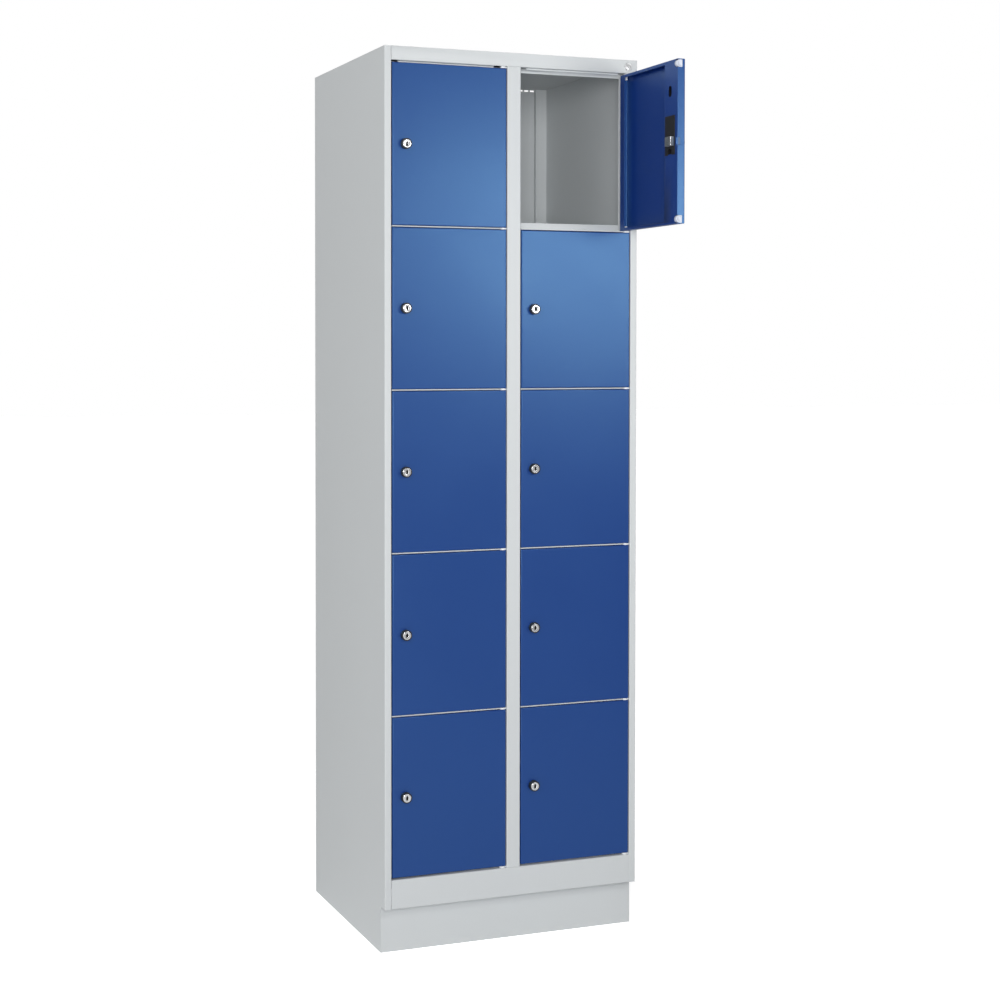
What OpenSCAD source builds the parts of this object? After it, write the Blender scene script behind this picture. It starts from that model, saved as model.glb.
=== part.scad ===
// Steel locker with two columns of five doors, each with a coin deposit lock.
// X runs to the right, Y into the cabinet, Z up. The origin is on the floor at the cabinet's centre.

/* [Cabinet] */
// Overall width
cabinet_w = 600; // [580:1:700]
// Overall depth
cabinet_d = 500; // [400:1:600]
// Overall height
cabinet_h = 1950; // [1800:1:2100]
// Thickness of the steel sheet
sheet = 1.2; // [0.8:0.1:1.4]

/* [Front frame] */
// Width of each outer stile
stile_w = 15.5; // [14:0.5:20]
// Width of the centre stile
centre_w = 31.8; // [30:0.2:40]
// Height of the top rail
top_rail_h = 30; // [28:1:60]
// Height of the bottom rail
bottom_rail_h = 63.4; // [40:0.2:80]
// Height of the plinth
plinth_h = 100; // [60:1:150]
// How far the plinth is set back from the front
plinth_setback = 28; // [20:1:60]
// Depth of the door stops behind the front
stop_depth = 29; // [28:0.5:36]
// Width of the stop lip on the lock side of an opening
lock_lip = 12; // [8:0.5:12]
// Width of the stop lip on the hinge side of an opening
hinge_lip = 16; // [10:0.5:24]

/* [Doors] */
// Doors in each column
rows = 5; // [2:1:5]
// Gap above and below each door
door_gap = 4.25; // [4:0.25:6]
// Gap on each side of a door
side_gap = 2.05; // [2:0.05:3]
// Thickness of a door
door_t = 18; // [18:0.5:19]
// Outer radius of a door's folded edges
fold_r = 2.5; // [2:0.1:3]
// Width of the hollow stiffener on the lock side
stiffener_w = 57; // [57:1:80]
// Width of the return flange on the hinge side
hinge_return = 20; // [12:1:40]
// Width of the return lip along the top and bottom
door_lip = 6; // [4:0.5:12]
// How far the top right door stands open, in degrees
open_angle = 90; // [0:1:100]

/* [Hinges] */
// Distance of the pivot axis from the jamb
pivot_in = 8.5; // [8.5:0.1:9.5]
// Depth of the pivot axis behind the front
pivot_d = 6.5; // [6:0.1:7]
// Radius of a hinge pin
pin_r = 3; // [2:0.25:3.5]
// Reach of a hinge pin into a door
pin_reach = 10; // [6:0.5:14]
// Radius of the washer round a hinge pin
washer_r = 6.5; // [5:0.25:6.5]

/* [Locks] */
// Distance of the lock's axis from the door's free edge
lock_u = 30; // [30:0.5:31]
// Radius of the black barrel
barrel_r = 11.5; // [10.5:0.25:12]
// Projection of the barrel from the door
barrel_out = 9.5; // [4:0.5:12]
// Radius of the key plug's face
plug_face_r = 9.25; // [8.75:0.25:9.5]
// Radius of the key plug's shank
plug_r = 8; // [7:0.25:8]
// Travel of the bolt
throw = 6; // [5:0.5:6]
// Height of the bolt
bolt_h = 15; // [10:0.5:16]
// Thickness of the bolt
bolt_t = 4.5; // [4:0.25:4.5]
// Diameter of the coin that the lock takes
coin_d = 23.25; // [20:0.05:24]
// Height of the coin inlet above the lock's axis
inlet_up = 108; // [100:1:130]

/* [Hidden] */
$fn = 48;
columns = 2;
side_names = ["left", "right"];
slack = 0.4;                        // working clearance round sliding parts
fit = 0.05;                         // radial clearance of running fits
eps = 0.5;                          // overshoot of a cutting shape
fold_mid = 0.9 + sheet / 2;         // radius of the frame's folds at the middle of the sheet

half_w = cabinet_w / 2;
front_y = -cabinet_d / 2;
back_y = cabinet_d / 2;
top_z = cabinet_h - sheet;          // underside of the top sheet
rail_z = cabinet_h - top_rail_h;    // top of the door openings
sill_z = plinth_h + bottom_rail_h;  // bottom of the door openings
stop_y = front_y + stop_depth;      // front face of the stop lips
inner_y = stop_y + sheet;           // back face of the stop lips
plinth_y = front_y + plinth_setback;

// Each column's opening, from its lock side to its hinge side
open_left = [-half_w + stile_w, centre_w / 2];
open_right = [-centre_w / 2, half_w - stile_w];
wall_left = [-half_w + sheet, sheet / 2];
wall_right = [-sheet / 2, half_w - sheet];

door_w = open_right[0] - open_left[0] - 2 * side_gap;
door_h = (rail_z - sill_z - (rows + 1) * door_gap) / rows;
pitch = door_h + door_gap;
pivot_u = door_w - pivot_in + side_gap;
lock_h = door_h / 2;

shelf_up = 16;                      // shelf floor above the middle of its gap
shelf_front_h = 24;                 // height of a shelf's folded front
sill_up = 14;                       // base floor above the sill
rail_lip = 8;                       // stop lip under the top rail
post_w = 28.6;                      // hollow corner posts at the back
post_d = 15;
post_y = back_y - post_d;
panel_y = back_y - 4;               // front face of the back panel
lock_relief = 18;                   // cut-outs in the top rail's return
hinge_relief = 28;
rail_stop_in = 11;                  // rib under the top rail's return, behind the front
rail_stop_h = 3;
strip_d = 8;                        // strip that covers the gap between two doors
strip_h = 2.4;
strip_in = 3;                       // its depth behind the front
strip_end = 16;                     // its end before the hinge-side jamb
strike_h = bolt_h + 4;
strike_d = bolt_t + 3;

vent_w = 11;                        // ventilation slots in the back panel
vent_h = 4;
vent_pitch = 15.3;
vents = 17;                         // slots above each column
vent_x = half_w / 2 - 8.4;          // middle of a column's row of slots
vent_z = top_z - 2.8;

badge_r = 9;
badge_t = 1.5;
badge_x = half_w - 23;
badge_z = cabinet_h - top_rail_h / 2 - 0.5;

// Lock case, measured from the lock's axis: a runs to the hinge side, h up, and d into the door
plate_a = [-19.4, 22];
plate_h = [-27, 56];
plate_t = 2;
case_in = 2;                        // case wall set in from the plate's edge
case_d = sheet + 0.2;               // front of the case behind the door's face
bolt_d = 11.9;                      // front of the bolt behind the door's face
plug_end = 11;                      // back of the plug's shank
drive_r = 1.6;                      // the plug's drive pin
drive_in = throw / 2;               // its distance from the axis, across and down
block_a = [-11.3, 14.1];            // the bolt's block behind the plate
block_h = [-8, 11.5];
block_out = 5;
carrier_a = [-11, 12];
carrier_h = [-12, 10];
guard_out = 3.5;                    // lug on the door's free edge beside the bolt
key_w = 2.2;
key_h = 9;
inlet_w = 15;
inlet_h = coin_d + 0.75;
inlet_a = 4;
chute_wall = 2;
chute_w = coin_d + 3;
return_w = 20;                      // coin return in the case's lower end
return_h = 14;
return_d = 9;

bumper_h = 16;
bumper_w = 10;
bumper_d = 6.5;                     // front of a bumper behind the door's face
bumper_end = 20;
bumper_in = 1.6;                    // from the door's top or bottom edge

fixing_x = cabinet_w - 120;         // floor fixing holes
fixing_y = cabinet_d - 80;
fixing_r = 4.5;
foot_w = 45;                        // plinth's flanges on the floor
brace_w = 40;
brace_h = 30;

// Names of the nodes, with door 1 at the top of each column
function tag(c, r) = str(side_names[c], "_", r + 1);
function door_z(r) = sill_z + door_gap + (rows - 1 - r) * pitch;
function gap_z(r) = door_z(r) - door_gap / 2;
function door_angle(c, r) = (c == 1 && r == 0) ? open_angle : 0;
function named(part) = [for (c = [0:columns - 1], r = [0:rows - 1]) str(part, "_", tag(c, r))];

// Box between two corners
module block(low, high) {
    translate(low) cube(high - low);
}

// Straight stretch of a folded sheet between two points of its middle line
module straight(a, b) {
    across = [abs(b.y - a.y), abs(b.x - a.x)] / norm(b - a) * sheet;
    translate([min(a.x, b.x), min(a.y, b.y)] - across / 2)
        square([abs(b.x - a.x), abs(b.y - a.y)] + across);
}

// Quarter-round fold at a corner, from direction d1 to direction d2
module fold(corner, d1, d2) {
    centre = corner + (d2 - d1) * fold_mid;
    far = centre + (d1 - d2) * (fold_mid + sheet);
    intersection() {
        translate(centre) difference() {
            circle(fold_mid + sheet / 2);
            circle(fold_mid - sheet / 2);
        }
        translate([min(centre.x, far.x), min(centre.y, far.y)])
            square([abs(far.x - centre.x), abs(far.y - centre.y)]);
    }
}

// Folded sheet: a square pen follows square-cornered points, and each corner is rounded
module folded(points) {
    last = len(points) - 1;
    half = [sheet, sheet] / 2;
    for (i = [1:last]) {
        a = points[i - 1] + half;
        b = points[i] + half;
        d = (b - a) / norm(b - a);
        straight(a + d * (i == 1 ? -sheet / 2 : fold_mid), b - d * (i == last ? -sheet / 2 : fold_mid));
        if (i < last)
            fold(b, d, (points[i + 1] + half - b) / norm(points[i + 1] + half - b));
    }
}

// Profile in Y and Z, run along X
module along_x(x0, x1) {
    translate([x0, 0, 0]) rotate([90, 0, 90]) linear_extrude(x1 - x0) children();
}

// Slot through a jamb wall where a bolt enters it
module strikes(c, x) {
    middle = front_y + bolt_d + bolt_t / 2;
    for (r = [0:rows - 1])
        translate([x, middle, door_z(r) + lock_h])
            block([-eps, -strike_d / 2, -strike_h / 2], [sheet + eps, strike_d / 2, strike_h / 2]);
}

// Right side panel: stop lip, jamb, stile, wall and hollow rear post folded from one sheet
module side_profile(lip) {
    jamb = half_w - stile_w;
    wall = half_w - sheet;
    folded([[jamb - lip, stop_y], [jamb, stop_y], [jamb, front_y], [wall, front_y], [wall, back_y - sheet],
            [wall - post_w, back_y - sheet], [wall - post_w, post_y], [wall, post_y]]);
}

module side_panel(lip) {
    jamb = half_w - stile_w;
    difference() {
        linear_extrude(top_z) side_profile(lip);
        block([0, front_y - eps, -eps], [half_w + eps, plinth_y, plinth_h]);
        block([0, front_y - eps, -eps], [jamb + stile_w - sheet, stop_y + 2 * sheet, plinth_h]);
        block([0, front_y - eps, -eps], [jamb, stop_y + 2 * sheet, sill_z]);
        block([0, front_y - eps, rail_z], [jamb, stop_y + 2 * sheet, top_z + eps]);
    }
}

module side_panel_right() {
    color("lightgray") side_panel(hinge_lip);
}

module side_panel_left() {
    color("lightgray") difference() {
        mirror([1, 0, 0]) side_panel(lock_lip);
        strikes(0, open_left[0] - sheet);
    }
}

// Centre stile with its stop lips, and the wall between the two columns
module centre_partition() {
    left = open_right[0];
    right = open_left[1] - sheet;
    color("lightgray") {
        difference() {
            translate([0, 0, sill_z]) linear_extrude(rail_z - sill_z)
                folded([[left - hinge_lip, stop_y], [left, stop_y], [left, front_y], [right, front_y],
                        [right, stop_y], [right + lock_lip, stop_y]]);
            strikes(1, right);
        }
        block([-sheet / 2, front_y + sheet / 2, sill_z + sill_up], [sheet / 2, inner_y, rail_z]);
        block([-sheet / 2, inner_y - eps, sill_z + sill_up], [sheet / 2, panel_y, top_z]);
    }
}

// Top sheet with the front rail, its return and the stop lip
module top_panel() {
    color("lightgray") difference() {
        union() {
            block([-half_w, front_y, top_z], [half_w, back_y, cabinet_h]);
            along_x(-half_w + stile_w, half_w - stile_w)
                folded([[front_y, top_z], [front_y, rail_z], [stop_y, rail_z]]);
            for (c = [0:columns - 1]) {
                block([open_left[c] + lock_lip, stop_y, rail_z - rail_lip],
                      [open_right[c] - hinge_lip, inner_y, rail_z + sheet]);
                block([open_left[c] + lock_relief, front_y + rail_stop_in, rail_z - rail_stop_h],
                      [open_right[c] - hinge_relief, front_y + rail_stop_in + sheet, rail_z + sheet / 2]);
            }
        }
        for (c = [0:columns - 1]) {
            block([open_left[c], front_y + sheet, rail_z - eps],
                  [open_left[c] + lock_relief, stop_y, rail_z + 2 * sheet]);
            block([open_right[c] - hinge_relief, front_y + sheet, rail_z - eps],
                  [open_right[c], stop_y, rail_z + 2 * sheet]);
        }
        block([-sheet / 2, inner_y - sheet, rail_z - eps], [sheet / 2, back_y + eps, top_z]);
    }
}

// Bottom rail, sill, stop upstand and floor of the lowest compartments
module base_panel() {
    floor_z = sill_z + sill_up - sheet;
    color("lightgray") {
        along_x(-half_w + stile_w, half_w - stile_w)
            folded([[plinth_y, plinth_h], [front_y, plinth_h],
                    [front_y, sill_z - sheet], [stop_y, sill_z - sheet]]);
        for (c = [0:columns - 1])
            block([open_left[c] + lock_lip, stop_y, sill_z - sheet],
                  [open_right[c] - hinge_lip, inner_y + eps, floor_z + sheet]);
        block([-half_w + sheet, inner_y, floor_z], [half_w - sheet, post_y, floor_z + sheet]);
        block([post_w + sheet - half_w, post_y - eps, floor_z],
              [half_w - sheet - post_w, panel_y, floor_z + sheet]);
    }
}

// Back panel with rows of ventilation slots at the top
module back_panel() {
    color("gainsboro") difference() {
        block([post_w + sheet - half_w, panel_y, plinth_h],
              [half_w - sheet - post_w, panel_y + sheet, top_z]);
        for (c = [0:columns - 1], i = [0:vents - 1])
            translate([(2 * c - 1) * vent_x + (i - (vents - 1) / 2) * vent_pitch, panel_y, vent_z])
                block([-vent_w / 2, -eps, -vent_h / 2], [vent_w / 2, sheet + eps, vent_h / 2]);
    }
}

// One shelf: floor, folded front, tongue between the rear posts, and the strip in the gap between doors
module shelf(c, z) {
    strip_z = z - shelf_up - 0.9;
    tongue = [wall_left[c] + (c == 0 ? post_w : 0), wall_right[c] - (c == 1 ? post_w : 0)];
    block([wall_left[c], inner_y, z - sheet], [wall_right[c], post_y, z]);
    block([wall_left[c], inner_y, z - shelf_front_h], [wall_right[c], inner_y + sheet, z]);
    block([tongue[0], post_y - eps, z - sheet], [tongue[1], panel_y, z]);
    block([open_left[c] + side_gap, front_y + strip_in, strip_z],
          [open_right[c] - strip_end, front_y + strip_in + strip_d, strip_z + strip_h]);
    block([open_left[c] + lock_lip + fit, front_y + strip_in + strip_d - eps, strip_z],
          [open_right[c] - hinge_lip - fit, inner_y + eps, strip_z + strip_h]);
}

module shelves() {
    color("lightgray")
        for (c = [0:columns - 1], r = [0:rows - 2])
            shelf(c, gap_z(r) + shelf_up);
}

// Plinth frame: front and rear boards, feet flanges with fixing holes, and a centre brace
module plinth() {
    inner = half_w - sheet;
    rear = half_w - sheet - post_w;
    color("gray") difference() {
        union() {
            block([-inner, plinth_y, 0], [inner, plinth_y + sheet, plinth_h]);
            block([-inner, plinth_y, 0], [inner, plinth_y + foot_w, sheet]);
            block([-rear, panel_y, 0], [rear, panel_y + sheet, plinth_h]);
            block([-rear, panel_y - foot_w, 0], [rear, panel_y + sheet, sheet]);
            block([-brace_w / 2, plinth_y, 0], [brace_w / 2, panel_y, sheet]);
            for (x = [-brace_w / 2, brace_w / 2 - sheet])
                block([x, plinth_y, 0], [x + sheet, panel_y + sheet, brace_h]);
        }
        for (x = [-fixing_x / 2, fixing_x / 2], y = [-fixing_y / 2, fixing_y / 2])
            translate([x, y, -eps]) cylinder(h = sheet + 2 * eps, r = fixing_r);
    }
}

// Hinge pin with its washer and the arm that joins it to the jamb
module hinge_pin(below, above) {
    washer_h = door_gap - 0.6;
    arm_h = washer_h - 1;
    cylinder(h = washer_h, r = washer_r, center = true);
    translate([0, -pivot_d / 2, -arm_h / 2]) cube([pivot_in, pivot_d, arm_h]);
    translate([0, 0, -below]) cylinder(h = below + above, r = pin_r);
}

module hinge_pins() {
    short = door_gap / 2 - 0.4;
    long = door_gap / 2 + pin_reach;
    color("whitesmoke")
        for (c = [0:columns - 1], r = [0:rows])
            translate([open_right[c] - pivot_in, front_y + pivot_d, sill_z + door_gap / 2 + r * pitch])
                hinge_pin(r == 0 ? short : long, r == rows ? short : long);
}

module badge() {
    color("silver") translate([badge_x, front_y, badge_z]) rotate([90, 0, 0]) {
        cylinder(h = badge_t, r = badge_r);
        cylinder(h = badge_t + 0.6, r = badge_r - 2.5);
    }
}

// Places a door's parts: u from its free edge, d from its outer face, h from its lower edge
module at_door(c, r) {
    translate([open_right[c] - pivot_in, front_y + pivot_d, door_z(r)])
        rotate([0, 0, door_angle(c, r)]) translate([-pivot_u, -pivot_d, 0]) children();
}

module at_lock(c, r) {
    at_door(c, r) translate([lock_u, 0, lock_h]) children();
}

// Section of a door, with folded front corners; inset by one sheet for its inside
module tray_outline(span, inset) {
    r = fold_r;
    translate([r, inset]) square([span - 2 * r, door_t - 2 * inset]);
    translate([inset, r]) square([span - 2 * inset, door_t - inset - r]);
    for (x = [r, span - r])
        translate([x, r]) circle(r - inset);
}

// Door's outside, or its inside one sheet in, with all four front edges folded
module tray(inset) {
    intersection() {
        linear_extrude(door_h) tray_outline(door_w, inset);
        translate([0, 0, door_h]) rotate([0, 90, 0]) linear_extrude(door_w) tray_outline(door_h, inset);
    }
}

// Round bar or bore along d, from d0 to d1
module rod(radius, d0, d1) {
    translate([0, d0, 0]) rotate([-90, 0, 0]) cylinder(h = d1 - d0, r = radius);
}

// Oval hole with round ends, upright, cut along d
module oval(w, h, length) {
    for (z = [-(h - w) / 2, (h - w) / 2])
        translate([0, 0, z]) rod(w / 2, 0, length);
    block([-w / 2, 0, -(h - w) / 2], [w / 2, length, (h - w) / 2]);
}

// Door leaf: folded tray with a hollow stiffener on the lock side, and a lug beside the bolt
module door_leaf() {
    back_d = door_t - sheet;
    web_in = 0.75 * sheet;
    difference() {
        union() {
            difference() {
                tray(0);
                tray(sheet);
            }
            block([stiffener_w - sheet, web_in, web_in], [stiffener_w, door_t, door_h - web_in]);
        }
        block([stiffener_w, back_d - eps, door_lip],
              [door_w - hinge_return, door_t + eps, door_h - door_lip]);
        for (h = [-eps, door_h - sheet - eps])
            translate([pivot_u, pivot_d, h]) cylinder(h = sheet + 2 * eps, r = pin_r + fit);
        for (h = [bumper_in - 0.1, door_h - bumper_in - bumper_h - 0.1])
            block([-eps, bumper_d - 0.1, h], [bumper_w + 0.4, door_t + eps, h + bumper_h + 0.2]);
        translate([lock_u, 0, lock_h]) {
            rod(barrel_r + 0.2, -eps, sheet + eps);
            block([plate_a[0] + case_in - 0.2, back_d - eps, plate_h[0] + case_in - 0.2],
                  [plate_a[1] - case_in + 0.2, door_t + eps, plate_h[1] - case_in + 0.2]);
            translate([inlet_a, back_d - eps, inlet_up]) oval(inlet_w, inlet_h, sheet + 2 * eps);
            block([-lock_u - eps, bolt_d - slack, -bolt_h / 2 - slack],
                  [sheet + eps - lock_u, bolt_d + bolt_t + slack / 2, bolt_h / 2 + slack]);
        }
    }
    translate([0, 0, lock_h])
        block([0, door_t - sheet / 2, -bolt_h / 2], [sheet, door_t + guard_out, bolt_h / 2]);
}

// Black lock case: barrel, body in the stiffener, cover plate, coin chute and coin return
module lock_case() {
    back = door_t + plate_t;
    low = [plate_a[0] + case_in, plate_h[0] + case_in];
    high = [plate_a[1] - case_in, plate_h[1] - case_in];
    chute_top = inlet_up + inlet_h / 2 + chute_wall;
    chute = [inlet_a - chute_w / 2, inlet_a + chute_w / 2];
    color([0.09, 0.09, 0.1]) difference() {
        union() {
            rod(barrel_r, -barrel_out, bolt_d - 1);
            block([low[0], case_d, low[1]], [high[0], door_t, high[1]]);
            block([plate_a[0], door_t, plate_h[0]], [plate_a[1], back, plate_h[1]]);
            block([chute[0] - chute_wall, case_d + 0.2, high[1] - eps],
                  [chute[1] + chute_wall, door_t - sheet - 0.3, chute_top]);
        }
        // key plug's seat
        rod(plug_face_r + fit, -barrel_out - eps, 2 - barrel_out);
        rod(plug_r + fit, -barrel_out, bolt_d);
        // room for the bolt and its carrier
        block([carrier_a[0] - throw - slack, bolt_d - slack, carrier_h[0] - slack],
              [carrier_a[1] + slack, bolt_d + bolt_t + slack, carrier_h[1] + slack]);
        block([low[0] - eps, bolt_d - slack, -bolt_h / 2 - slack],
              [0, bolt_d + bolt_t + slack, bolt_h / 2 + slack]);
        block([block_a[0] - throw - slack, bolt_d - slack, block_h[0] - slack],
              [block_a[1] + slack, back + eps, block_h[1] + slack]);
        // coin chute, coin pocket and coin return
        block([chute[0], case_d + 0.2 + chute_wall, high[1] - coin_d],
              [chute[1], door_t, chute_top - chute_wall]);
        translate([(plate_a[0] + plate_a[1]) / 2, 0, plate_h[0] + return_h - return_w / 2])
            rod(return_w / 2, back - return_d, back + eps);
        translate([(plate_a[0] + plate_a[1]) / 2, 0, 0])
            block([-return_w / 2, back - return_d, plate_h[0] - eps],
                  [return_w / 2, back + eps, plate_h[0] + return_h - return_w / 2]);
    }
}

// Key plug: face, shank, drive pin and keyway
module key_plug() {
    color("silver") difference() {
        union() {
            rod(plug_face_r, -barrel_out - 1, 2 - barrel_out - fit);
            rod(plug_r, -barrel_out, plug_end);
            translate([drive_in, 0, -drive_in]) rod(drive_r, plug_end - eps, bolt_d + bolt_t - 1.5);
        }
        block([-key_w / 2, -barrel_out - 1 - eps, -key_h / 2], [key_w / 2, plug_end - 3, key_h / 2]);
    }
}

// Lock bolt: nose, carrier with the drive slot, and the block behind the plate
module lock_bolt() {
    slot_w = 2 * drive_r + 1;
    color("lightsteelblue") difference() {
        union() {
            block([0.2 - lock_u, bolt_d, -bolt_h / 2], [carrier_a[0] + eps, bolt_d + bolt_t, bolt_h / 2]);
            block([carrier_a[0], bolt_d, carrier_h[0]], [carrier_a[1], bolt_d + bolt_t, carrier_h[1]]);
            block([block_a[0], bolt_d + bolt_t - 1, block_h[0]],
                  [block_a[1], door_t + plate_t + block_out, block_h[1]]);
        }
        block([drive_in - slot_w / 2, bolt_d - eps, -drive_in * sqrt(2) - drive_r - 0.6],
              [drive_in + slot_w / 2, bolt_d + bolt_t - 1, -drive_in + drive_r + 0.6]);
    }
}

// D-shaped rubber bumper, seen from the free edge, with its round end at the back
module bumper() {
    r = bumper_h / 2;
    translate([0.3, 0, 0]) {
        block([0, bumper_d, 0], [bumper_w, bumper_end - r, bumper_h]);
        translate([0, bumper_end - r, r]) rotate([0, 90, 0]) intersection() {
            cylinder(h = bumper_w, r = r);
            block([-r, -eps, 0], [r, r, bumper_w]);
        }
    }
}

module bumpers() {
    color("white")
        for (h = [bumper_in, door_h - bumper_in - bumper_h])
            translate([0, 0, h]) bumper();
}

side_panel_left();
side_panel_right();
centre_partition();
top_panel();
base_panel();
back_panel();
shelves();
plinth();
hinge_pins();
badge();
for (c = [0:columns - 1], r = [0:rows - 1]) {
    at_door(c, r) color("royalblue") door_leaf();
    at_lock(c, r) lock_case();
    at_lock(c, r) key_plug();
    at_lock(c, r) lock_bolt();
    at_door(c, r) bumpers();
}
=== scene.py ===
import math
import bmesh
import bpy
import numpy as np
from mathutils import Matrix, Vector


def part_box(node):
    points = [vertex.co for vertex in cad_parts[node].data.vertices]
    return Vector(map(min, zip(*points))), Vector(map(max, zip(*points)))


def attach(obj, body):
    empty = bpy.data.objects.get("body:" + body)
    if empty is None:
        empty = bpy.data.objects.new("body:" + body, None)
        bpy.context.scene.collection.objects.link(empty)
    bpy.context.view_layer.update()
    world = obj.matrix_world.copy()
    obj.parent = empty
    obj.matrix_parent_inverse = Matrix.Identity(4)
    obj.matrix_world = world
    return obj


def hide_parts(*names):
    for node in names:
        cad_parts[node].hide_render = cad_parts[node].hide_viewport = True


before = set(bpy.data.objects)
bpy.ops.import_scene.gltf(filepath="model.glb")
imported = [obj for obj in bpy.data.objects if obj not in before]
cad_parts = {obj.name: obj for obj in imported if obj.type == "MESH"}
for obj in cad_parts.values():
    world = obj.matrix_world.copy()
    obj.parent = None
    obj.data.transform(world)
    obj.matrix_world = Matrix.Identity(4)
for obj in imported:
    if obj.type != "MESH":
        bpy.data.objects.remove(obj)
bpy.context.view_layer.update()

# X runs to the right, Y into the cabinet and Z up, in metres. Places come from the frame.
mm = 0.001
tags = [f"{side}_{row}" for side in ("left", "right") for row in range(1, 6)]  # row 1 is the top one
print("frame loaded:", len(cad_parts), "nodes")


# helpers that add shader nodes

def noise(group, vector, scale, detail=2.0, roughness=0.5):
    node = group.nodes.new("ShaderNodeTexNoise")
    node.inputs["Detail"].default_value = detail
    node.inputs["Roughness"].default_value = roughness
    group.links.new(vector, node.inputs["Vector"])
    if isinstance(scale, (int, float)):
        node.inputs["Scale"].default_value = scale
    else:
        group.links.new(scale, node.inputs["Scale"])
    return node.outputs["Fac"]


def math2(group, kind, a, b):
    node = group.nodes.new("ShaderNodeMath")
    node.operation = kind
    for value, socket in ((a, node.inputs[0]), (b, node.inputs[1])):
        if isinstance(value, (int, float)):
            socket.default_value = value
        else:
            group.links.new(value, socket)
    return node.outputs[0]


def mixColor(group, factor, a, b, kind="MIX"):
    node = group.nodes.new("ShaderNodeMix")
    node.data_type = "RGBA"
    node.blend_type = kind
    for value, socket in ((factor, node.inputs[0]), (a, node.inputs[6]), (b, node.inputs[7])):
        if isinstance(value, (int, float)):
            socket.default_value = value
        elif isinstance(value, tuple):
            socket.default_value = (*value, 1)
        else:
            group.links.new(value, socket)
    return node.outputs[2]


# camera, lamps and sky

viewpoint = {
    "place": (-1.5696, -3.8513, 1.3087),
    "turn": 20.617,      # degrees to the right of straight ahead
    "tilt": 1.4,         # degrees below level
    "lens": 64.53,
    "shift": (0.0779, -0.1089),
}

studio = {
    "skyEven": 0.07,     # light that comes from all round
    "skyLeft": 1.17,     # and what is added straight from the left
    "keyPlace": (0.98, -2.1, 1.68),
    "keySize": (0.9, 0.42),
    "keyAim": (0.0, -0.25, 1.5),
    "keyPower": 11.8,
    "fillPlace": (-1.5, -4.3, 1.7),
    "fillSize": (1.4, 1.4),
    "fillAim": (0.1, 0.0, 1.5),
    "fillPower": 101,
    "floorSize": 60.0,
    "floorColor": (0.93, 0.93, 0.93),
    "floorGlow": 0.74,
}


def makeCamera():
    data = bpy.data.cameras.new("camera")
    data.lens = viewpoint["lens"]
    data.sensor_width = 36
    data.shift_x, data.shift_y = viewpoint["shift"]
    data.clip_end = 200
    cam = bpy.data.objects.new("camera", data)
    cam.location = viewpoint["place"]
    cam.rotation_euler = (math.radians(90 - viewpoint["tilt"]), 0, -math.radians(viewpoint["turn"]))
    bpy.context.scene.collection.objects.link(cam)
    bpy.context.scene.camera = cam


def makeLight(kind):
    data = bpy.data.lights.new(kind, "AREA")
    data.shape = "RECTANGLE"
    data.size, data.size_y = studio[kind + "Size"]
    data.energy = studio[kind + "Power"]
    lamp = bpy.data.objects.new(kind, data)
    lamp.location = studio[kind + "Place"]
    aim = Vector(studio[kind + "Aim"]) - lamp.location
    lamp.rotation_euler = aim.to_track_quat("-Z", "Z").to_euler()
    bpy.context.scene.collection.objects.link(lamp)


def makeSky():
    # strength = even + left * max(-x, 0), where x is the direction's part to the right;
    # the camera itself sees plain white
    world = bpy.data.worlds.new("sky")
    world.use_nodes = True
    tree = world.node_tree
    tree.nodes.clear()
    way = tree.nodes.new("ShaderNodeSeparateXYZ")
    tree.links.new(tree.nodes.new("ShaderNodeTexCoord").outputs["Generated"], way.inputs[0])
    leftward = math2(tree, "MAXIMUM", math2(tree, "MULTIPLY", way.outputs["X"], -1.0), 0.0)
    total = math2(tree, "ADD", math2(tree, "MULTIPLY", leftward, studio["skyLeft"]), studio["skyEven"])
    path = tree.nodes.new("ShaderNodeLightPath")
    strength = tree.nodes.new("ShaderNodeMix")
    tree.links.new(path.outputs["Is Camera Ray"], strength.inputs[0])
    tree.links.new(total, strength.inputs[2])
    strength.inputs[3].default_value = 1.0
    light = tree.nodes.new("ShaderNodeBackground")
    light.inputs["Color"].default_value = (1, 1, 1, 1)
    tree.links.new(strength.outputs[0], light.inputs["Strength"])
    out = tree.nodes.new("ShaderNodeOutputWorld")
    tree.links.new(light.outputs["Background"], out.inputs["Surface"])
    bpy.context.scene.world = world


makeCamera()
makeLight("key")
makeLight("fill")
makeSky()
bpy.context.scene.view_settings.view_transform = "Standard"
print("camera, lights and sky made")


# shader node groups shared by the materials

def newGroup(name, inputs, outputs):
    group = bpy.data.node_groups.new(name, "ShaderNodeTree")
    for label, kind, value in inputs:
        socket = group.interface.new_socket(label, in_out="INPUT", socket_type=kind)
        socket.default_value = value
    for label, kind in outputs:
        group.interface.new_socket(label, in_out="OUTPUT", socket_type=kind)
    start = group.nodes.new("NodeGroupInput")
    end = group.nodes.new("NodeGroupOutput")
    return group, start, end


def makeOrangePeel():
    # height = (slow waves of the baked coat + 0.35 * pimples 3.1 times finer - their mean) * Depth
    group, start, end = newGroup(
        "orangePeel",
        [("Size", "NodeSocketFloat", 420.0), ("Depth", "NodeSocketFloat", 1.0)],
        [("Height", "NodeSocketFloat")],
    )
    place = group.nodes.new("ShaderNodeTexCoord").outputs["Object"]
    waves = noise(group, place, start.outputs["Size"], 1.5, 0.45)
    pimples = noise(group, place, math2(group, "MULTIPLY", start.outputs["Size"], 3.1), 1.0)
    both = math2(group, "ADD", waves, math2(group, "MULTIPLY", pimples, 0.35))
    height = math2(group, "MULTIPLY", math2(group, "SUBTRACT", both, 0.675), start.outputs["Depth"])
    group.links.new(height, end.inputs["Height"])
    return group


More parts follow.
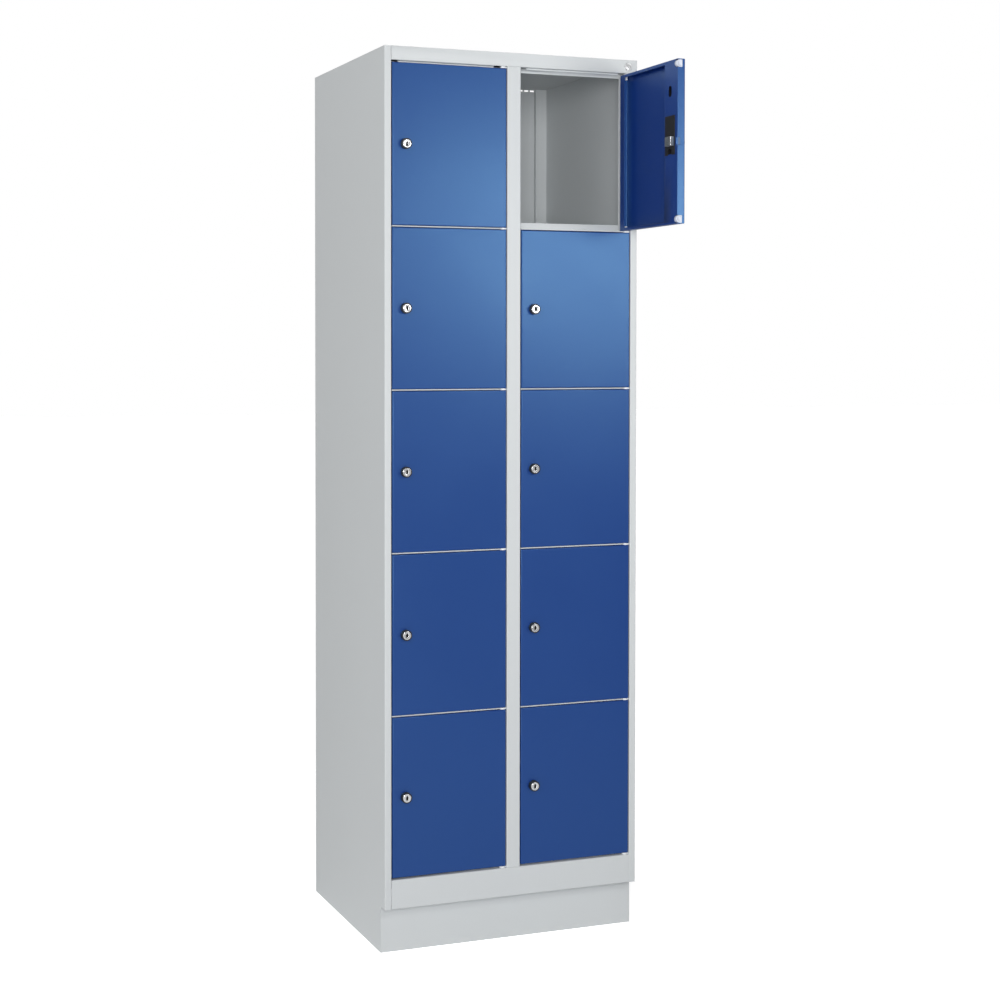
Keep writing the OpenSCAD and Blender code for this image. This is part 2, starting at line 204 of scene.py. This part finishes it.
def makeCoatTone():
    # colour = coat * (1 + Mottle * noise), with pale dust where the normal's z is over 0.7;
    # roughness = Gloss + 0.1 * slow noise + 0.4 * dust
    group, start, end = newGroup(
        "coatTone",
        [("Coat", "NodeSocketColor", (0.5, 0.5, 0.5, 1)), ("Mottle", "NodeSocketFloat", 0.03),
         ("Dust", "NodeSocketFloat", 0.1), ("Gloss", "NodeSocketFloat", 0.4)],
        [("Color", "NodeSocketColor"), ("Roughness", "NodeSocketFloat")],
    )
    place = group.nodes.new("ShaderNodeTexCoord").outputs["Object"]
    slow = noise(group, place, 5.0, 3.0)
    fine = noise(group, place, 900.0, 2.0)
    uneven = math2(group, "SUBTRACT", math2(group, "ADD", slow, fine), 1.0)
    shade = math2(group, "ADD", 1.0, math2(group, "MULTIPLY", uneven, start.outputs["Mottle"]))
    toned = group.nodes.new("ShaderNodeVectorMath")
    toned.operation = "SCALE"
    group.links.new(start.outputs["Coat"], toned.inputs[0])
    group.links.new(shade, toned.inputs["Scale"])
    up = group.nodes.new("ShaderNodeSeparateXYZ")
    group.links.new(group.nodes.new("ShaderNodeNewGeometry").outputs["Normal"], up.inputs[0])
    facingUp = math2(group, "GREATER_THAN", up.outputs["Z"], 0.7)
    lying = math2(group, "MULTIPLY", facingUp, start.outputs["Dust"])
    cover = math2(group, "MULTIPLY", lying, noise(group, place, 60.0, 4.0, 0.6))
    group.links.new(mixColor(group, cover, toned.outputs[0], (0.62, 0.61, 0.58)), end.inputs["Color"])
    rub = math2(group, "MULTIPLY", math2(group, "SUBTRACT", slow, 0.5), 0.10)
    clean = math2(group, "ADD", start.outputs["Gloss"], rub)
    rough = math2(group, "ADD", clean, math2(group, "MULTIPLY", cover, 0.4))
    group.links.new(rough, end.inputs["Roughness"])
    return group


def makeBrushing():
    # streak = noise at place * Grain, so it is drawn out along the axis with the smallest Grain
    group, start, end = newGroup(
        "brushing",
        [("Grain", "NodeSocketVector", (60.0, 60.0, 2400.0)), ("Depth", "NodeSocketFloat", 1.0)],
        [("Height", "NodeSocketFloat"), ("Streak", "NodeSocketFloat")],
    )
    place = group.nodes.new("ShaderNodeTexCoord").outputs["Object"]
    drawn = group.nodes.new("ShaderNodeVectorMath")
    drawn.operation = "MULTIPLY"
    group.links.new(place, drawn.inputs[0])
    group.links.new(start.outputs["Grain"], drawn.inputs[1])
    streak = noise(group, drawn.outputs[0], 1.0, 3.0, 0.6)
    group.links.new(streak, end.inputs["Streak"])
    height = math2(group, "MULTIPLY", math2(group, "SUBTRACT", streak, 0.5), start.outputs["Depth"])
    group.links.new(height, end.inputs["Height"])
    return group


orangePeel = makeOrangePeel()
coatTone = makeCoatTone()
brushing = makeBrushing()


# materials

def newMaterial(name, settings):
    material = bpy.data.materials.new(name)
    material.use_nodes = True
    shader = material.node_tree.nodes["Principled BSDF"]
    for socket, value in settings.items():
        shader.inputs[socket].default_value = (*value, 1) if isinstance(value, tuple) else value
    return material, material.node_tree, shader


def placeGroup(tree, group, values):
    node = tree.nodes.new("ShaderNodeGroup")
    node.node_tree = group
    for socket, value in values.items():
        node.inputs[socket].default_value = value
    return node


def addBump(tree, shader, height, distance):
    bump = tree.nodes.new("ShaderNodeBump")
    bump.inputs["Distance"].default_value = distance
    tree.links.new(height, bump.inputs["Height"])
    tree.links.new(bump.outputs["Normal"], shader.inputs["Normal"])


def powderCoat(name, coat, gloss, peel, mottle, dust, settings):
    material, tree, shader = newMaterial(name, settings)
    tone = placeGroup(tree, coatTone, {"Coat": (*coat, 1), "Mottle": mottle, "Dust": dust, "Gloss": gloss})
    tree.links.new(tone.outputs["Color"], shader.inputs["Base Color"])
    tree.links.new(tone.outputs["Roughness"], shader.inputs["Roughness"])
    bumps = placeGroup(tree, orangePeel, {"Size": peel, "Depth": 1.0})
    addBump(tree, shader, bumps.outputs["Height"], 0.06 * mm)
    return material


def mouldedPlastic(name, color, gloss, grain, depth, settings):
    material, tree, shader = newMaterial(name, settings)
    tone = placeGroup(tree, coatTone, {"Coat": (*color, 1), "Mottle": 0.12, "Dust": 0.05, "Gloss": gloss})
    tree.links.new(tone.outputs["Color"], shader.inputs["Base Color"])
    tree.links.new(tone.outputs["Roughness"], shader.inputs["Roughness"])
    bumps = placeGroup(tree, orangePeel, {"Size": grain, "Depth": 1.0})
    addBump(tree, shader, bumps.outputs["Height"], depth)
    return material


def platedMetal(name, metal, bright, dull, gloss, grain, depth, shadeAndBarMask=None, shadeAndZincColor=(0.012, 0.011, 0.01)):
    # bright and dull metal mixed by the brushing, and the dark colour where the given point attribute is 1: on the
    # key plugs that is painted shade on the keyhole's walls and floor, on the bolts the zinc-plated bar
    material, tree, shader = newMaterial(name, {"Metallic": metal})
    brush = placeGroup(tree, brushing, {"Grain": grain, "Depth": 1.0})
    color = mixColor(tree, brush.outputs["Streak"], dull, bright)
    rough = math2(tree, "ADD", gloss, math2(tree, "MULTIPLY", brush.outputs["Streak"], 0.12))
    if shadeAndBarMask:
        shadeAndBarShare = tree.nodes.new("ShaderNodeAttribute")
        shadeAndBarShare.attribute_name = shadeAndBarMask
        color = mixColor(tree, shadeAndBarShare.outputs["Fac"], color, shadeAndZincColor)
        rough = math2(tree, "ADD", rough, math2(tree, "MULTIPLY", shadeAndBarShare.outputs["Fac"], 0.5))
        tree.links.new(math2(tree, "SUBTRACT", 1.0, shadeAndBarShare.outputs["Fac"]), shader.inputs["Metallic"])
    tree.links.new(color, shader.inputs["Base Color"])
    tree.links.new(rough, shader.inputs["Roughness"])
    addBump(tree, shader, brush.outputs["Height"], depth)
    return material


finishes = {
    # colours, linear
    "grey": (0.60, 0.625, 0.635),
    "blue": (0.0042, 0.028, 0.195),
    "black": (0.012, 0.012, 0.013),
    "nylon": (0.80, 0.82, 0.84),
    "rubber": (0.60, 0.64, 0.73),
    "zinc": (0.10, 0.16, 0.27),
}

greyPaint = powderCoat("greyPaint", finishes["grey"], 0.50, 700.0, 0.02, 0.10, {"IOR": 1.5})
plinthPaint = powderCoat("plinthPaint", finishes["grey"], 0.48, 640.0, 0.03, 0.25, {"IOR": 1.5})
bluePaint = powderCoat("bluePaint", finishes["blue"], 0.37, 700.0, 0.05, 0.03,
                       {"IOR": 2.0, "Specular Tint": (0.35, 0.71, 1.0)})
blackPlastic = mouldedPlastic("blackPlastic", finishes["black"], 0.42, 2600.0, 0.03 * mm, {"IOR": 1.48})
whiteNylon = mouldedPlastic("whiteNylon", finishes["nylon"], 0.38, 1800.0, 0.02 * mm, {"IOR": 1.53})
whiteRubber = mouldedPlastic("whiteRubber", finishes["rubber"], 0.5, 2200.0, 0.02 * mm, {"IOR": 1.5})
# chrome key plug faces; the near-black inside their keyholes is painted shade
chrome = platedMetal("chrome", 0.45, (0.95, 0.95, 0.96), (0.86, 0.87, 0.88), 0.20,
                     (300.0, 300.0, 300.0), 0.004 * mm, "shadeAndBarMask")
boltSteel = platedMetal("boltSteel", 0.8, (0.86, 0.87, 0.88), (0.66, 0.67, 0.69), 0.16,
                        (90.0, 90.0, 2600.0), 0.01 * mm, "bar", finishes["zinc"])
satinMetal = platedMetal("satinMetal", 0.45, (0.74, 0.75, 0.76), (0.60, 0.61, 0.62), 0.26,
                         (2400.0, 90.0, 90.0), 0.008 * mm)
print("materials made:", len(bpy.data.materials))


# making and placing pieces

def newPiece(name, mesh, material, body, slot, *nodes):
    piece = bpy.data.objects.new(name, mesh)
    bpy.context.scene.collection.objects.link(piece)
    mesh.materials.clear()
    mesh.materials.append(material)
    mesh.polygons.foreach_set("use_smooth", np.ones(len(mesh.polygons), bool))
    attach(piece, body)
    if nodes:
        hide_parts(*nodes)
    return piece


arrises = {
    "from": 40,       # degrees: flatter folds stay as they are
    "steps": 2,
    "flats": 90,      # how far large flat faces rule the shading next to an arris, up to 100
}


def roundArrises(piece, width):
    bevel = piece.modifiers.new("arrises", "BEVEL")
    # the width is measured along the edges that meet an arris, so slanted ones make no spikes
    bevel.offset_type = "ABSOLUTE"
    bevel.width = width
    bevel.segments = arrises["steps"]
    bevel.limit_method = "ANGLE"
    bevel.angle_limit = math.radians(arrises["from"])
    bevel.use_clamp_overlap = False
    weigh = piece.modifiers.new("flats", "WEIGHTED_NORMAL")
    weigh.mode = "FACE_AREA"
    weigh.weight = arrises["flats"]


def mergedCopy(node):
    # copy of a CAD node: points within 10 micrometres become one, and so do faces within 0.4 degrees
    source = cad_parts[node].data
    work = bmesh.new()
    work.from_mesh(source)
    bmesh.ops.remove_doubles(work, verts=work.verts, dist=0.01 * mm)
    bmesh.ops.dissolve_limit(work, angle_limit=math.radians(0.4), verts=work.verts, edges=work.edges)
    mesh = bpy.data.meshes.new(node + "_shape")
    work.to_mesh(mesh)
    work.free()
    return mesh


def loftRings(name, rings):
    # rings is an array of closed rings of points; neighbours are joined by quads and the two ends are capped
    count, around = rings.shape[:2]
    index = np.arange(count * around).reshape(count, around)
    turned = np.roll(index, -1, axis=1)
    quads = np.stack([index[:-1], turned[:-1], turned[1:], index[1:]], axis=-1).reshape(-1, 4)
    faces = quads.tolist() + [index[0][::-1].tolist(), index[-1].tolist()]
    mesh = bpy.data.meshes.new(name + "_shape")
    mesh.from_pydata(rings.reshape(-1, 3).tolist(), [], faces)
    mesh.validate()
    return mesh


def faceOutwards(mesh):
    work = bmesh.new()
    work.from_mesh(mesh)
    bmesh.ops.recalc_face_normals(work, faces=work.faces)
    work.to_mesh(mesh)
    work.free()


def doorPlace(tag):
    # u runs from the free edge, d from the outer face and h up;
    # the rows of the result are their directions and the door's corner
    low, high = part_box("door_" + tag)
    if high.x - low.x > high.y - low.y:
        return np.array([(1, 0, 0), (0, 1, 0), (0, 0, 1), (low.x, low.y, low.z)], float)
    return np.array([(0, 1, 0), (-1, 0, 0), (0, 0, 1), (high.x, low.y, low.z)], float)


def fromDoor(tag, points):
    place = doorPlace(tag)
    return points @ place[:3] + place[3]


def boxInDoor(tag, node):
    # lowest and highest corner of a node in its door's u, d and h
    place = doorPlace(tag)
    corners = np.array([tuple(corner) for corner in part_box(node)])
    ends = (corners - place[3]) @ place[:3].T
    return ends.min(axis=0), ends.max(axis=0)


# cabinet panels and plinth

cabinet = {
    "arris": 0.3 * mm,
    "panels": ("side_panel_left", "side_panel_right", "centre_partition", "top_panel", "base_panel",
               "back_panel", "shelves"),
}


def makeCabinet():
    for node in cabinet["panels"]:
        piece = newPiece(node + "_sheet", mergedCopy(node), greyPaint, "cabinet", "grey_paint", node)
        roundArrises(piece, cabinet["arris"])
    piece = newPiece("plinth_sheet", mergedCopy("plinth"), plinthPaint, "cabinet", "plinth_paint", "plinth")
    roundArrises(piece, cabinet["arris"])


makeCabinet()
print("cabinet made")


# doors

doorLeaf = {
    "arris": 0.35 * mm,
}


def makeDoors():
    for tag in tags:
        node = "door_" + tag
        piece = newPiece(node + "_leaf", mergedCopy(node), bluePaint, node, "blue_paint", node)
        roundArrises(piece, doorLeaf["arris"])


makeDoors()
print("doors made")


# locks: key plug, case and bolt

keyPlug = {
    "around": 96,
    "rim": 0.9 * mm,                    # radius of the face's rounded edge
    "shankIn": 1.25 * mm,               # the shank is this much smaller in radius than the face
    "headLong": 2.95 * mm,
    "pinLong": 5.4 * mm,                # the drive pin behind the shank, hidden in the case and left out here
    "holeHalf": (2.7 * mm, 5.4 * mm),   # half the keyhole's width and height
    "holeLip": 0.35 * mm,
    "holeDepth": 5.0 * mm,
}


def pointedOval(angle, halfWide, halfTall):
    # two equal arcs that meet in a point at the top and the bottom: across = +-(sqrt(R^2 - up^2) - (R - halfWide))
    radius = (halfWide ** 2 + halfTall ** 2) / (2 * halfWide)
    up = halfTall * np.sin(angle)
    across = np.sign(np.cos(angle)) * (np.sqrt(radius ** 2 - up ** 2) - (radius - halfWide))
    return across, up


def keyPlugRings(low, high):
    # rings round the lock's axis from the shank's end, over the rounded face, and down into the keyhole;
    # on the rounded edge: radius = face - rim + rim * cos(turn), depth = front + rim - rim * sin(turn)
    size = keyPlug
    angle = np.linspace(0, 2 * np.pi, size["around"], endpoint=False)
    faceR = (high[0] - low[0]) / 2
    shankR = faceR - size["shankIn"]
    front, collar, back = low[1], low[1] + size["headLong"], high[1] - size["pinLong"]
    turn = np.linspace(0, np.pi / 2, 6)
    rim = size["rim"]
    radii = np.concatenate([[shankR, shankR, faceR], faceR - rim + rim * np.cos(turn)])
    depths = np.concatenate([[back, collar, collar], front + rim - rim * np.sin(turn)])
    outer = np.stack([radii[:, None] * np.cos(angle), depths[:, None] + 0 * angle,
                      radii[:, None] * np.sin(angle)], axis=-1)
    lip = size["holeLip"]
    grow = np.array([lip, lip * 0.3, 0.0, 0.0])
    sink = np.array([0.0, lip * 0.3, lip, size["holeDepth"]])
    hole = []
    for more, down in zip(grow, sink):
        across, up = pointedOval(angle, size["holeHalf"][0] + more, size["holeHalf"][1] + more)
        hole.append(np.stack([across, front + down + 0 * angle, up], axis=-1))
    return np.concatenate([outer, np.array(hole)]), len(outer)


def makeKeyPlugs():
    for tag in tags:
        node = "key_plug_" + tag
        low, high = boxInDoor(tag, node)
        rings, outer = keyPlugRings(low, high)
        rings = rings + np.array([(low[0] + high[0]) / 2, 0, (low[2] + high[2]) / 2])
        mesh = loftRings(node, fromDoor(tag, rings))
        faceOutwards(mesh)
        # the keyhole's walls and floor get the near-black colour: painted shade in the hole
        shadeAndBarShare = np.zeros(rings.shape[:2], np.float32)
        shadeAndBarShare[outer + 2:] = 1.0
        mesh.attributes.new("shadeAndBarMask", "FLOAT", "POINT").data.foreach_set("value", shadeAndBarShare.ravel())
        newPiece(node + "_face", mesh, chrome, "key_" + tag, "chrome", node)


lockCase = {
    "arris": 0.5 * mm,
}


def makeLockCases():
    for tag in tags:
        node = "lock_case_" + tag
        piece = newPiece(node + "_black", mergedCopy(node), blackPlastic, "door_" + tag, "black_plastic", node)
        roundArrises(piece, lockCase["arris"])


lockBolt = {
    "arris": 0.6 * mm,
    "blockFrom": 17.0 * mm,   # the block starts this far behind the door's face
}


def makeLockBolts():
    for tag in tags:
        node = "lock_bolt_" + tag
        mesh = mergedCopy(node)
        # bar = 1 on the flat bar and its carrier, 0 on the polished block that stands behind the plate
        points = np.empty(len(mesh.vertices) * 3, np.float32)
        mesh.vertices.foreach_get("co", points)
        place = doorPlace(tag)
        behind = (points.reshape(-1, 3) - place[3]) @ place[1]
        onBar = (behind < lockBolt["blockFrom"]).astype(np.float32)
        mesh.attributes.new("bar", "FLOAT", "POINT").data.foreach_set("value", onBar)
        piece = newPiece(node + "_plated", mesh, boltSteel, "bolt_" + tag, "bolt_steel", node)
        roundArrises(piece, lockBolt["arris"])


makeKeyPlugs()
makeLockCases()
makeLockBolts()
print("locks made")


# bumpers, hinge pins and badge

bumper = {
    "tall": 16.0 * mm,
    "rim": 1.9 * mm,         # width of the raised rim
    "sunk": 0.7 * mm,        # depth of the dished ends
    "soft": 0.4 * mm,        # size of the rim's bevels
    "around": 64,
}


def dOutline(along, low, high, inset):
    # square at the front, a half circle at the back; along is the share of the way round, from 0 to 1:
    # over the top, then (flat + radius * cos, radius * sin) on the arc, back along the base, and up the front;
    # inset scales it about its middle
    tall = high[2] - low[2]
    radius = tall / 2
    middle = (low[2] + high[2]) / 2
    flat = high[1] - radius
    straight = flat - low[1]
    total = 2 * straight + math.pi * radius + tall
    s = along * total
    arcEnd = straight + math.pi * radius
    stretches = [s < straight, s < arcEnd, s < arcEnd + straight]
    angle = np.pi / 2 - (s - straight) / radius
    d = np.select(stretches, [low[1] + s, flat + radius * np.cos(angle), flat - (s - arcEnd)], low[1])
    h = np.select(stretches, [radius, radius * np.sin(angle), -radius], s - arcEnd - straight - radius)
    shrink = (radius - inset) / radius
    centre = (low[1] + high[1]) / 2
    return centre + (d - centre) * (1 - 2 * inset / (high[1] - low[1])), middle + h * shrink


def bumperRings(low, high):
    # rings of the D outline from one dished end, over its rim, along the sides to the other end
    rim, sunk, soft = bumper["rim"], bumper["sunk"], bumper["soft"]
    width = high[0] - low[0]
    insets = np.array([rim + soft, rim, soft, 0, 0, soft, rim, rim + soft])
    across = np.array([sunk, 0, 0, soft, width - soft, width, width, width - sunk])
    along = np.linspace(0, 1, bumper["around"], endpoint=False)
    rings = []
    for inset, u in zip(insets, across):
        d, h = dOutline(along, low, high, inset)
        rings.append(np.stack([low[0] + u + 0 * d, d, h], axis=-1))
    return np.array(rings)


def makeBumpers():
    for tag in tags:
        node = "bumpers_" + tag
        low, high = boxInDoor(tag, node)
        tall = bumper["tall"]
        for label, base in (("lower", low[2]), ("upper", high[2] - tall)):
            first, last = low.copy(), high.copy()
            first[2], last[2] = base, base + tall
            mesh = loftRings(f"{node}_{label}", fromDoor(tag, bumperRings(first, last)))
            faceOutwards(mesh)
            newPiece(f"{node}_{label}", mesh, whiteRubber, "door_" + tag, "white_rubber", node)


hingePins = {
    "arris": 0.4 * mm,
}


def makeHingePins():
    node = "hinge_pins"
    piece = newPiece(node + "_nylon", mergedCopy(node), whiteNylon, "cabinet", "white_nylon", node)
    roundArrises(piece, hingePins["arris"])


badge = {
    "around": 96,
    "edge": 0.5 * mm,                   # radius of the face's rounded edge
    "dome": 0.2 * mm,                   # height of the middle over the edge
    "groove": (6.6 * mm, 0.35 * mm),    # radius and depth of the ring groove
}


def makeBadge():
    # place = centre + radius * (cos, sin) of the angle, height off the rail from the profile below it
    low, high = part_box("badge")
    radius, thick = (high.x - low.x) / 2, high.y - low.y
    grooveR, grooveD = badge["groove"]
    edge = badge["edge"]
    dome = badge["dome"]
    radii = np.array([radius, radius, radius - edge * 0.3, radius - edge, grooveR + 0.8 * mm, grooveR + 0.3 * mm,
                      grooveR - 0.3 * mm, grooveR - 0.8 * mm, grooveR * 0.5, 0.2 * mm])
    heights = np.array([0, thick - edge - dome, thick - edge * 0.3 - dome, thick - dome, thick - dome / 2,
                        thick - dome / 2 - grooveD, thick - dome / 2 - grooveD, thick - dome / 4, thick, thick])
    angle = np.linspace(0, 2 * np.pi, badge["around"], endpoint=False)
    x = (low.x + high.x) / 2 + radii[:, None] * np.cos(angle)
    z = (low.z + high.z) / 2 + radii[:, None] * np.sin(angle)
    y = high.y - heights[:, None] + 0 * angle
    mesh = loftRings("badge", np.stack([x, y, z], axis=-1))
    faceOutwards(mesh)
    newPiece("badge_disc", mesh, satinMetal, "cabinet", "satin_metal", "badge")


makeBumpers()
makeHingePins()
makeBadge()
print("bumpers, hinge pins and badge made")


# floor

def makeFloor():
    # pale paint that glows a little for the camera only, so that it runs into the white behind it
    half = studio["floorSize"] / 2
    mesh = bpy.data.meshes.new("floor")
    mesh.from_pydata([(-half, -half, 0), (half, -half, 0), (half, half, 0), (-half, half, 0)], [], [(0, 1, 2, 3)])
    floor = bpy.data.objects.new("floor", mesh)
    bpy.context.scene.collection.objects.link(floor)
    material, tree, shader = newMaterial("floorPaint", {"Roughness": 0.9, "Specular IOR Level": 0.0})
    place = tree.nodes.new("ShaderNodeTexCoord").outputs["Object"]
    grey = studio["floorColor"]
    shade = mixColor(tree, noise(tree, place, 0.8, 2.0), tuple(0.99 * c for c in grey), grey)
    tree.links.new(shade, shader.inputs["Base Color"])
    path = tree.nodes.new("ShaderNodeLightPath")
    glow = math2(tree, "MULTIPLY", path.outputs["Is Camera Ray"], studio["floorGlow"])
    shader.inputs["Emission Color"].default_value = (1, 1, 1, 1)
    tree.links.new(glow, shader.inputs["Emission Strength"])
    mesh.materials.append(material)


makeFloor()
